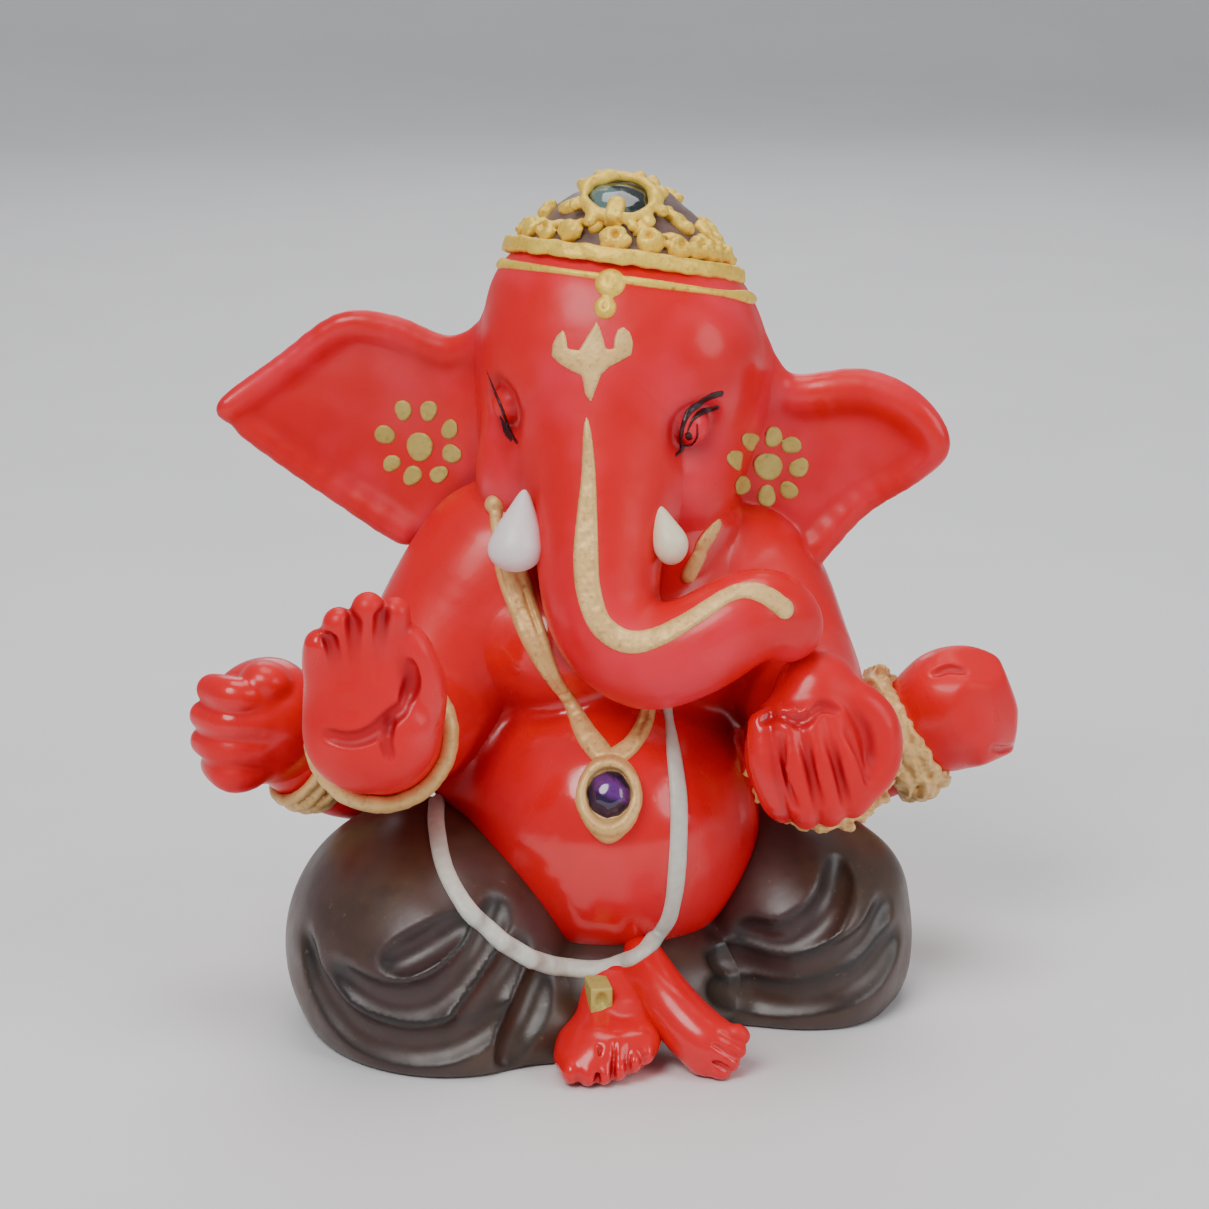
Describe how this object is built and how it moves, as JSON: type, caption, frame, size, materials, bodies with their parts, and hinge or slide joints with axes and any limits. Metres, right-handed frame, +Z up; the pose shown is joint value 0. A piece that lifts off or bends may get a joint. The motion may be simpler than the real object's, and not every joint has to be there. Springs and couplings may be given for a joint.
{
  "type": "ganesha idol",
  "caption": "Small painted figurine of a seated elephant-headed deity with a raised palm, wide ears, a trunk curled to one side, a domed crown and applied ornaments.",
  "frame": {"origin": "middle of the footprint's bounding box, on the surface the figure stands on", "axes": "+X to the figure's left, along its longest extent; +Y to its back, along its shortest extent; +Z up"},
  "size_m": [0.0898, 0.0578, 0.0876],
  "materials": {
    "red_paint": "bright red acrylic paint with patches of clear varnish, slightly pitted",
    "dark_paint": "satin dark brown paint with lighter rubbed edges",
    "gold_paint": "dull ochre gold paint, brushed on thickly, brown in the hollows",
    "bright_gold_paint": "yellow gold metallic paint, a little worn",
    "tusk_paint": "white paint with a faint pink cast, smooth",
    "thread_paint": "off-white paint, satin",
    "cap_paint": "grey-brown paint over the crown's dome, thin and streaky",
    "crown_stone": "dark grey-green stone, streaked, glossy",
    "purple_stone": "deep purple cut stone, clear and glossy",
    "eye_paint": "red lid with thin dark maroon painted lines and a dark pupil"
  },
  "bodies": {
    "root": {"torso": "red_paint", "head": "red_paint", "trunk": "red_paint", "right_ear": "red_paint", "left_ear": "red_paint", "right_front_arm": "red_paint", "left_front_arm": "red_paint", "right_rear_arm": "red_paint", "left_rear_arm": "red_paint", "right_front_hand": "red_paint", "left_front_hand": "red_paint", "right_rear_fist": "red_paint", "left_rear_fist": "red_paint", "right_foot": "red_paint", "left_foot": "red_paint", "right_leg": "dark_paint", "left_leg": "dark_paint", "seat": "dark_paint", "right_ear_rosette": "gold_paint", "left_ear_rosette": "gold_paint", "right_front_bangle": "gold_paint", "left_front_bangle": "gold_paint", "right_rear_bangle": "gold_paint", "left_rear_bangle": "gold_paint", "tilak": "gold_paint", "trunk_stripe": "gold_paint", "necklace_right_strand": "gold_paint", "necklace_left_strand": "gold_paint", "shoulder_strap": "gold_paint", "pendant_setting": "gold_paint", "waist_clasp": "gold_paint", "crown_band": "bright_gold_paint", "crown_scrolls": "bright_gold_paint", "crown_medallion_ring": "bright_gold_paint", "crown_keystone": "bright_gold_paint", "brow_cord": "bright_gold_paint", "brow_drops": "bright_gold_paint", "right_tusk": "tusk_paint", "left_tusk": "tusk_paint", "crown_cap": "cap_paint", "crown_gem": "crown_stone", "pendant_gem": "purple_stone", "right_eye": "eye_paint", "left_eye": "eye_paint", "sacred_thread": "thread_paint"}
  },
  "joints": []
}
